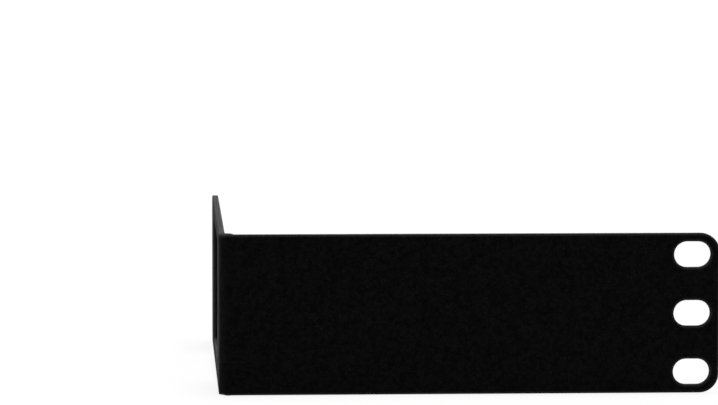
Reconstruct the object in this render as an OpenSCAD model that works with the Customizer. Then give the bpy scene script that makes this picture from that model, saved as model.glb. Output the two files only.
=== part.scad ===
// Rack mount ear bracket: one strip of sheet steel, punched and folded once into an L.
// The long flange bolts to the front of a rack rail, and the other runs back along the device.
// It is the same above and below its middle, so it serves at either side of the rack.
// Origin: centre of the middle rack slot, on the face that seats on the rail.
// +X points outboard along the rack flange, +Y back into the rack and +Z up.

/* [Sheet] */
// Thickness of the sheet, with its powder coat
sheet_t = 1.7; // [1.2:0.1:2.5]
// Height of the bracket: one rack unit less its clearance
bracket_h = 43.2; // [42:0.1:60]
// Rounding of every cut edge
edge_r = 0.3; // [0.1:0.05:0.5]

/* [Fold] */
// Inside radius of the fold
fold_r = 0.9; // [0.6:0.1:3]
// How far the squeezed inner skin stands out past the cut edges
bulge_h = 0.3; // [0.1:0.05:0.5]
// How far the stretched outer skin is drawn in from the cut edges
draw_in = 0.3; // [0.1:0.05:0.5]

/* [Rack flange] */
// Length from the side flange's outer face to the free end
rack_l = 134.4; // [60:0.1:220]
// Radius of the two free corners
rack_corner_r = 5.2; // [1:0.1:7]

/* [Rack slots] */
// Number of slots
slot_count = 3; // [1:1:3]
// Spacing of the slots up the flange
slot_pitch = 15.875; // [12:0.001:16]
// Length of a slot over its round ends
slot_l = 9.9; // [8:0.1:12]
// Height of a slot
slot_h = 7; // [5:0.1:7.5]
// Free end to the centre of the slots
slot_edge = 7.4; // [7.4:0.1:12]

/* [Side flange] */
// Length from the rack flange's front face to the free end
side_l = 104.7; // [100:0.1:180]
// Radius of the two free corners
side_corner_r = 3.8; // [1:0.1:7]

/* [Window] */
// Length of the window along the side flange
window_l = 57; // [30:0.1:60]
// Height of the window
window_h = 35.2; // [20:0.1:36]
// Radius of the window's corners
window_corner_r = 1.1; // [0.6:0.1:6]
// Rack flange's front face to the near side of the window
window_front = 23.6; // [21:0.1:25]

/* [Chassis holes] */
// Diameter of the two holes for the device's screws
hole_d = 4.5; // [3:0.1:6]
// Rack flange's front face to the centre of the near hole
hole_front = 14.7; // [10:0.1:15]
// Spacing of the two holes
hole_spacing = 75; // [74:0.1:80]

/* [Hidden] */
$fn = 72;
fold_out_r = fold_r + sheet_t;
side_x = slot_edge - rack_l; // outer face of the side flange
fold_x = side_x + fold_out_r; // the fold's axis, where both flanges start
fold_y = fold_r;
rim_w = 2 * edge_r; // width of the rounded rim set round each opening
past = 1; // how far a cutter runs past the sheet
// The bulge dies out this far from the fold's axis, and from there the outer skin is drawn in
bulge_reach = fold_r + 0.4 * sheet_t;
draw_lift = 0.03; // the drawn-in surface starts this far above the edge, so that it crosses it cleanly

// The sheet cut across: its thickness along x, its height h centred on y, its four edges rounded.
module sheet_section(h) {
    translate([0, edge_r - h / 2]) square([sheet_t, h - 2 * edge_r]);
    translate([edge_r, -h / 2]) square([sheet_t - 2 * edge_r, h]);
    for (x = [edge_r, sheet_t - edge_r], y = [edge_r - h / 2, h / 2 - edge_r])
        translate([x, y]) circle(edge_r);
}

// A strip w wide beside a cut edge: its thickness along y, its rounded edge at x = w.
module edge_section(w) {
    square([w - edge_r, sheet_t]);
    translate([0, edge_r]) square([w, sheet_t - 2 * edge_r]);
    translate([w - edge_r, edge_r]) circle(edge_r);
    translate([w - edge_r, sheet_t - edge_r]) circle(edge_r);
}

// The strip round an opening, whose rounded edge is at x = 0.
module rim_section() {
    translate([rim_w, 0]) mirror([1, 0]) edge_section(rim_w);
}

// A straight run of that strip, l long, centred on y.
module rim_bar(l) {
    translate([0, l / 2, 0]) rotate([90, 0, 0]) linear_extrude(l) rim_section();
}

// A straight run of sheet l long and h high. Flanges lie on z = 0 and start at x = 0, the fold.
module sheet_run(l, h) {
    translate([0, 0, sheet_t]) rotate([0, 90, 0]) linear_extrude(l) sheet_section(h);
}

// A flange before punching, with two rounded corners at its free end.
module flange_blank(l, corner_r) {
    corner_x = l - corner_r;
    corner_y = bracket_h / 2 - corner_r;
    sheet_run(corner_x, bracket_h);
    translate([corner_x, corner_y, 0]) rotate([90, 0, 0]) linear_extrude(2 * corner_y) edge_section(corner_r);
    translate([corner_x, corner_y, 0]) rotate_extrude(angle = 90) edge_section(corner_r);
    translate([corner_x, -corner_y, 0]) rotate(-90) rotate_extrude(angle = 90) edge_section(corner_r);
}

// Cuts an opening with round ends, l long and d across, and the room for its rim.
module round_cut(l, d) {
    translate([0, 0, -past]) linear_extrude(sheet_t + 2 * past) {
        if (l > d) square([l - d, d + 2 * rim_w], center = true);
        for (x = [d - l, l - d]) translate([x / 2, 0]) circle(d / 2 + rim_w);
    }
}

// The rounded rim of that opening: two half rings, with two bars between them if it is long.
module round_rim(l, d) {
    for (turn = [0, 180]) rotate(turn) translate([(l - d) / 2, 0, 0])
        rotate(-90) rotate_extrude(angle = 180) translate([d / 2, 0]) rim_section();
    if (l > d) for (turn = [90, 270]) rotate(turn) translate([d / 2, 0, 0]) rim_bar(l - d);
}

// Cuts the window, and the room for its rim.
module window_cut() {
    in_l = window_l - 2 * window_corner_r;
    in_h = window_h - 2 * window_corner_r;
    translate([0, 0, -past]) linear_extrude(sheet_t + 2 * past) {
        square([in_l, window_h + 2 * rim_w], center = true);
        square([window_l + 2 * rim_w, in_h], center = true);
        for (x = [-in_l, in_l], y = [-in_h, in_h]) translate([x, y] / 2) circle(window_corner_r + rim_w);
    }
}

// The window's rounded rim: a quarter ring at each corner and a bar along each side.
module window_rim() {
    in_l = window_l - 2 * window_corner_r;
    in_h = window_h - 2 * window_corner_r;
    for (x = [0, 1], y = [0, 1]) mirror([x, 0, 0]) mirror([0, y, 0]) translate([in_l / 2, in_h / 2, 0])
        rotate_extrude(angle = 90) translate([window_corner_r, 0]) rim_section();
    for (turn = [0, 180]) rotate(turn) translate([window_l / 2, 0, 0]) rim_bar(in_h);
    for (turn = [90, 270]) rotate(turn) translate([window_h / 2, 0, 0]) rim_bar(in_l);
}

// Where the flanges meet the fold, and where their openings are.
module at_rack_flange() { translate([fold_x, 0, 0]) rotate([90, 0, 0]) children(); }
module at_side_flange() { translate([side_x, fold_y, 0]) rotate([90, 0, 90]) children(); }
module at_slots() {
    for (i = [0:slot_count - 1])
        translate([rack_l - slot_edge - fold_out_r, (i - (slot_count - 1) / 2) * slot_pitch, 0]) children();
}
module at_holes() {
    for (d = [0, hole_spacing]) translate([hole_front + d - fold_out_r, 0, 0]) children();
}
module at_window() {
    translate([window_front + window_l / 2 - fold_out_r, 0, 0]) children();
}

// The long flange, with its column of slots.
module rack_flange() {
    at_rack_flange() {
        difference() {
            flange_blank(rack_l - fold_out_r, rack_corner_r);
            at_slots() round_cut(slot_l, slot_h);
        }
        at_slots() round_rim(slot_l, slot_h);
    }
}

// The flange beside the device, with its window between two screw holes.
module side_flange() {
    at_side_flange() {
        difference() {
            flange_blank(side_l - fold_out_r, side_corner_r);
            at_holes() round_cut(hole_d, hole_d);
            at_window() window_cut();
        }
        at_holes() round_rim(hole_d, hole_d);
        at_window() window_rim();
    }
}

// The fold itself: a quarter turn of sheet h high.
module fold_turn(h) {
    translate([fold_x, fold_y, 0]) rotate(180) rotate_extrude(angle = 90) translate([fold_r, 0]) sheet_section(h);
}

// The inner skin squeezed out past the top edge: a shallow dome of metal over the fold.
module fold_bulge() {
    dome_h = bulge_h * pow(bulge_reach, 2) / (pow(bulge_reach, 2) - pow(fold_r, 2));
    dome_r = (pow(bulge_reach, 2) + pow(dome_h, 2)) / (2 * dome_h);
    tall_h = bracket_h + 2 * bulge_h;
    intersection() {
        translate([fold_x, fold_y, bracket_h / 2 + dome_h - dome_r]) sphere(dome_r);
        union() {
            fold_turn(tall_h);
            at_rack_flange() sheet_run(2 * dome_r, tall_h);
            at_side_flange() sheet_run(2 * dome_r, tall_h);
        }
    }
}

// What the top edge loses where the outer skin is drawn in: a block hollowed by a cylinder.
module fold_draw_in() {
    run = fold_out_r - bulge_reach;
    round_r = (pow(run, 2) + pow(draw_in, 2)) / (2 * draw_in);
    translate([fold_x, fold_y, bracket_h / 2]) rotate(225) difference() {
        translate([bulge_reach, -fold_out_r, -2 * draw_in]) cube([run + past, 2 * fold_out_r, 4 * draw_in]);
        translate([bulge_reach, 0, draw_lift - round_r]) rotate([90, 0, 0])
            cylinder(r = round_r, h = 3 * fold_out_r, center = true);
    }
}

module ear_bracket() {
    color("#1c1c1e") difference() {
        union() {
            rack_flange();
            side_flange();
            fold_turn(bracket_h);
            for (end = [0, 1]) mirror([0, 0, end]) fold_bulge();
        }
        for (end = [0, 1]) mirror([0, 0, end]) fold_draw_in();
    }
}

ear_bracket();
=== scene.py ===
"""Looks of the rack mount ear bracket: black powder coat on one folded sheet of steel.

Every length is in metres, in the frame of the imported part: +X along the rack flange from the
fold to the slots, +Y back into the rack, +Z up. The camera looks roughly along +Y.
"""

import math

import bpy
from mathutils import Matrix, Vector


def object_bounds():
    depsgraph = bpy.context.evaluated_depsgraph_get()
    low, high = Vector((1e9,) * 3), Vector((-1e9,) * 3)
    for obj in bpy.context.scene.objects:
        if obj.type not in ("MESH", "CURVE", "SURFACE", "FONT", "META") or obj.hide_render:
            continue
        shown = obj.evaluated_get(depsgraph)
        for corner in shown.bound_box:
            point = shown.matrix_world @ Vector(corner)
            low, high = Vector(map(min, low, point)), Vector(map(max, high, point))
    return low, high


METRE = 1
MM = 0.001 * METRE

# Camera. It aims at a point in the plane of the rack flange's front face, measured along the
# flange from its folded end and upwards from the bracket's highest point.
LENS = 186.09
SENSOR_WIDTH = 36
AIM_FROM_FOLD = 37.35 * MM
AIM_ABOVE_TOP = 8.33 * MM
CAMERA_DISTANCE = 988.5 * MM
CAMERA_YAW = math.radians(-3.236)
CAMERA_PITCH = math.radians(6.118)
CAMERA_ROLL = math.radians(0.154)

# Floor. The white share of what is seen of it is plain white, and the rest keeps the shadow.
FLOOR_SIZE = 12
FLOOR_COLOUR = (0.9, 0.9, 0.9, 1)
FLOOR_WHITE_SHARE = 0.85

# Room: the grey that lights the bracket, and the white that the camera and reflections see.
ROOM_COLOUR = (0.25, 0.25, 0.25, 1)
ROOM_SHOWS = (1, 1, 1, 1)

# Soft lamps: name, strength, width in degrees, and the way from the object to the lamp.
LAMPS = (
    ("top_softbox", 2.0, 30, (0.1, 0.0, 1.0)),
    ("front_softbox", 0.5, 50, (0.1, -0.55, 0.85)),
    ("left_softbox", 0.5, 40, (-0.8, -0.6, 0.9)),
    ("rear_softbox", 1.3, 40, (0.25, 0.95, 0.25)),
)

# Powder coat. A scale is in cells per millimetre, and a detail is the number of finer layers that
# a noise has. A span gives the values of the noise, or of the rim mask, at which a blend begins and
# ends. A height is what the whole blend or noise raises the surface by. A grey is a linear
# reflectance. The grain's grey differs at random and is lighter where the grain is raised, a painted
# highlight, and the flecks add a painted glint and the rims a painted highlight to it.
COAT_IOR = 1.5
COAT_SPECULAR = 0.1
COAT_TINT = (0.2, 0.2, 0.2, 1)
COAT_ROUGHNESS = (0.76, 0.84)
NOISE_SPAN = (0.0, 1.0)
PEEL_SCALE = 0.4
PEEL_DETAIL = 1
PEEL_HEIGHT = 0.05 * MM
GRAIN_SCALE = 0.8
GRAIN_DETAIL = 4
GRAIN_HEIGHT = 0.3 * MM
GRAIN_SPAN = (0.3, 0.7)
# The grain's grey differs at random, and is lighter where the grain is raised: a painted highlight.
GRAIN_GREY_AND_PAINTED_SHEEN = (0.0006, 0.0032)
FLECK_SCALE = 1.8
FLECK_DETAIL = 1
FLECK_HEIGHT = 0.03 * MM
FLECK_SPAN = (0.56, 0.84)
# The flecks add a painted glint to the grey; their bump is real.
PAINTED_GLINT_GREY = 0.0055
MOTTLE_SCALE = 0.16
MOTTLE_DETAIL = 3
MOTTLE_SPAN = (0.3, 0.7)
# A painted highlight on every rim of the sheet: a paler grey that stands in for light caught by the
# rounded edges.
RIM_HIGHLIGHT_REACH = 0.7 * MM
RIM_HIGHLIGHT_SAMPLES = 8
RIM_HIGHLIGHT_SPAN = (0.03, 0.18)
PAINTED_RIM_HIGHLIGHT_GREY = 0.015


def make_camera(low, high):
    """The view from the front, a little to the left and above, through a long lens."""
    aim = Vector((low.x + AIM_FROM_FOLD, low.y, high.z + AIM_ABOVE_TOP))
    turn = (
        Matrix.Rotation(CAMERA_YAW, 4, "Z")
        @ Matrix.Rotation(math.pi / 2 - CAMERA_PITCH, 4, "X")
        @ Matrix.Rotation(CAMERA_ROLL, 4, "Z")
    )
    camera = bpy.data.objects.new("camera", bpy.data.cameras.new("camera"))
    camera.data.lens = LENS
    camera.data.sensor_width = SENSOR_WIDTH
    back = turn @ Vector((0, 0, 1))
    camera.matrix_world = Matrix.Translation(aim + back * CAMERA_DISTANCE) @ turn
    bpy.context.scene.collection.objects.link(camera)
    bpy.context.scene.camera = camera


def new_material(name):
    """An empty node material, with its output node."""
    material = bpy.data.materials.new(name)
    material.use_nodes = True
    material.node_tree.nodes.clear()
    return material, material.node_tree.nodes.new("ShaderNodeOutputMaterial")


def seen_directly(tree):
    """1 for a ray from the camera, a mirror or glass, and 0 for light that falls on the object."""
    path = tree.nodes.new("ShaderNodeLightPath")
    total = path.outputs["Is Camera Ray"]
    for name in ("Is Glossy Ray", "Is Transmission Ray"):
        larger = tree.nodes.new("ShaderNodeMath")
        larger.operation = "MAXIMUM"
        tree.links.new(total, larger.inputs[0])
        tree.links.new(path.outputs[name], larger.inputs[1])
        total = larger.outputs[0]
    return total


def floor_material():
    """Pale floor that shows as white, and keeps a share of the shadow that falls on it."""
    material, output = new_material("floor")
    tree = material.node_tree
    diffuse = tree.nodes.new("ShaderNodeBsdfDiffuse")
    diffuse.inputs["Color"].default_value = FLOOR_COLOUR
    white = tree.nodes.new("ShaderNodeEmission")
    share = tree.nodes.new("ShaderNodeMath")
    share.operation = "MULTIPLY"
    share.inputs[1].default_value = FLOOR_WHITE_SHARE
    tree.links.new(seen_directly(tree), share.inputs[0])
    mix = tree.nodes.new("ShaderNodeMixShader")
    tree.links.new(share.outputs[0], mix.inputs[0])
    tree.links.new(diffuse.outputs[0], mix.inputs[1])
    tree.links.new(white.outputs[0], mix.inputs[2])
    tree.links.new(mix.outputs[0], output.inputs["Surface"])
    return material


def make_floor(low, high):
    """A wide level floor that the bracket stands on, centred under it."""
    centre = (low + high) / 2
    reach = FLOOR_SIZE / 2
    corners = [
        (centre.x - reach, centre.y - reach, low.z),
        (centre.x + reach, centre.y - reach, low.z),
        (centre.x + reach, centre.y + reach, low.z),
        (centre.x - reach, centre.y + reach, low.z),
    ]
    mesh = bpy.data.meshes.new("floor")
    mesh.from_pydata(corners, [], [(0, 1, 2, 3)])
    mesh.materials.append(floor_material())
    sheet = bpy.data.objects.new("floor", mesh)
    bpy.context.scene.collection.objects.link(sheet)


def make_sun(name, strength, width_degrees, towards):
    """A soft lamp a long way off. towards points from the object to the lamp."""
    lamp = bpy.data.lights.new(name, "SUN")
    lamp.energy = strength
    lamp.angle = math.radians(width_degrees)
    sun = bpy.data.objects.new(name, lamp)
    sun.rotation_euler = Vector(towards).to_track_quat("Z", "Y").to_euler()
    bpy.context.scene.collection.objects.link(sun)


def make_lamps():
    """Plain soft light from above, the front, the left and the rear."""
    for name, strength, width_degrees, towards in LAMPS:
        make_sun(name, strength, width_degrees, towards)


def make_room():
    """A plain room that lights the object softly and shows as white."""
    world = bpy.data.worlds.new("room")
    world.use_nodes = True
    tree = world.node_tree
    tree.nodes.clear()
    soft = tree.nodes.new("ShaderNodeBackground")
    soft.inputs["Color"].default_value = ROOM_COLOUR
    white = tree.nodes.new("ShaderNodeBackground")
    white.inputs["Color"].default_value = ROOM_SHOWS
    mix = tree.nodes.new("ShaderNodeMixShader")
    tree.links.new(seen_directly(tree), mix.inputs[0])
    tree.links.new(soft.outputs[0], mix.inputs[1])
    tree.links.new(white.outputs[0], mix.inputs[2])
    output = tree.nodes.new("ShaderNodeOutputWorld")
    tree.links.new(mix.outputs[0], output.inputs["Surface"])
    bpy.context.scene.world = world


def place_in_millimetres(tree):
    """The point on the bracket, in its own frame."""
    coordinates = tree.nodes.new("ShaderNodeTexCoord")
    millimetres = tree.nodes.new("ShaderNodeVectorMath")
    millimetres.operation = "SCALE"
    millimetres.inputs["Scale"].default_value = 1 / MM
    tree.links.new(coordinates.outputs["Object"], millimetres.inputs[0])
    return millimetres.outputs[0]


def noise(tree, place, scale, detail):
    """Noise of so many cells per millimetre, from about 0 to 1."""
    node = tree.nodes.new("ShaderNodeTexNoise")
    node.inputs["Scale"].default_value = scale
    node.inputs["Detail"].default_value = detail
    tree.links.new(place, node.inputs["Vector"])
    return node.outputs["Fac"]


def blend(tree, source, span, low, high):
    """A value that goes from low to high as the source goes through its span."""
    node = tree.nodes.new("ShaderNodeMapRange")
    node.inputs["From Min"].default_value = span[0]
    node.inputs["From Max"].default_value = span[1]
    node.inputs["To Min"].default_value = low
    node.inputs["To Max"].default_value = high
    tree.links.new(source, node.inputs["Value"])
    return node.outputs["Result"]


def mask(tree, source, span):
    """0 where the source is below its span, and 1 where it is above it."""
    return blend(tree, source, span, 0.0, 1.0)


def add_scaled(tree, source, factor, total):
    """The total so far plus the source times a factor."""
    node = tree.nodes.new("ShaderNodeMath")
    node.operation = "MULTIPLY_ADD"
    tree.links.new(source, node.inputs[0])
    node.inputs[1].default_value = factor
    tree.links.new(total, node.inputs[2])
    return node.outputs[0]


def painted_rim_highlight(tree):
    """How strongly a rim gets its painted highlight: 0 on the flats, and up to 1 on the rims of the
    sheet.
    """
    inside = tree.nodes.new("ShaderNodeAmbientOcclusion")
    inside.inside = True
    inside.only_local = True
    inside.samples = RIM_HIGHLIGHT_SAMPLES
    inside.inputs["Distance"].default_value = RIM_HIGHLIGHT_REACH
    exposed = tree.nodes.new("ShaderNodeMath")
    exposed.operation = "SUBTRACT"
    exposed.inputs[0].default_value = 1
    tree.links.new(inside.outputs["AO"], exposed.inputs[1])
    return mask(tree, exposed.outputs[0], RIM_HIGHLIGHT_SPAN)


def coat_grey_and_painted_highlights(tree, grain, nibs_and_painted_glints):
    """The coat's colour: dark and less dark grain that is lighter where raised, a painted highlight,
    with painted glints on the flecks and a painted highlight on the rims.
    """
    # Grain tone, lighter on the raised grain as a painted highlight.
    grey = blend(tree, grain, GRAIN_SPAN, *GRAIN_GREY_AND_PAINTED_SHEEN)
    # Painted glints on the flecks.
    grey = add_scaled(tree, nibs_and_painted_glints, PAINTED_GLINT_GREY, grey)
    # A painted highlight on the rims.
    return add_scaled(tree, painted_rim_highlight(tree), PAINTED_RIM_HIGHLIGHT_GREY, grey)


def coat_relief(tree, peel, grain, nibs_and_painted_glints):
    """The surface's height in metres, turned into a bumped normal."""
    height = blend(tree, peel, NOISE_SPAN, 0.0, PEEL_HEIGHT)
    height = add_scaled(tree, grain, GRAIN_HEIGHT, height)
    height = add_scaled(tree, nibs_and_painted_glints, FLECK_HEIGHT, height)
    node = tree.nodes.new("ShaderNodeBump")
    node.inputs["Distance"].default_value = METRE
    tree.links.new(height, node.inputs["Height"])
    return node.outputs["Normal"]


def powder_coat():
    """Matt black powder coat: orange peel, fine grain, flecks, a faint mottle, and painted highlights
    on the raised grain, the flecks and the rims.
    """
    material, output = new_material("black_powder_coat")
    tree = material.node_tree
    shader = tree.nodes.new("ShaderNodeBsdfPrincipled")
    shader.inputs["IOR"].default_value = COAT_IOR
    shader.inputs["Specular IOR Level"].default_value = COAT_SPECULAR
    shader.inputs["Specular Tint"].default_value = COAT_TINT
    place = place_in_millimetres(tree)
    peel = noise(tree, place, PEEL_SCALE, PEEL_DETAIL)
    grain = noise(tree, place, GRAIN_SCALE, GRAIN_DETAIL)
    mottle = noise(tree, place, MOTTLE_SCALE, MOTTLE_DETAIL)
    nibs_and_painted_glints = mask(tree, noise(tree, place, FLECK_SCALE, FLECK_DETAIL), FLECK_SPAN)
    roughness = blend(tree, mottle, MOTTLE_SPAN, *COAT_ROUGHNESS)
    tree.links.new(coat_grey_and_painted_highlights(tree, grain, nibs_and_painted_glints), shader.inputs["Base Color"])
    tree.links.new(roughness, shader.inputs["Roughness"])
    tree.links.new(coat_relief(tree, peel, grain, nibs_and_painted_glints), shader.inputs["Normal"])
    tree.links.new(shader.outputs[0], output.inputs["Surface"])
    return material


def dress_bracket(bracket):
    """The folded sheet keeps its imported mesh, and gets its finish."""
    bracket.material_slots[0].material = powder_coat()


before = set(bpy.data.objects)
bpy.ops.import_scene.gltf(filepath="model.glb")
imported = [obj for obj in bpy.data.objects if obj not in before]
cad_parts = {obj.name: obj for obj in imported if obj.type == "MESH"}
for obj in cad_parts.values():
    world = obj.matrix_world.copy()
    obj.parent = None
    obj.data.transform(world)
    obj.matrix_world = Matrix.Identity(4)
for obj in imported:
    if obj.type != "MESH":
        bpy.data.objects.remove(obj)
cad_low, cad_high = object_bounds()
scene = bpy.context.scene
scene.view_settings.view_transform = "Standard"
make_camera(cad_low, cad_high)
make_floor(cad_low, cad_high)
make_lamps()
make_room()
dress_bracket(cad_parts["ear_bracket"])
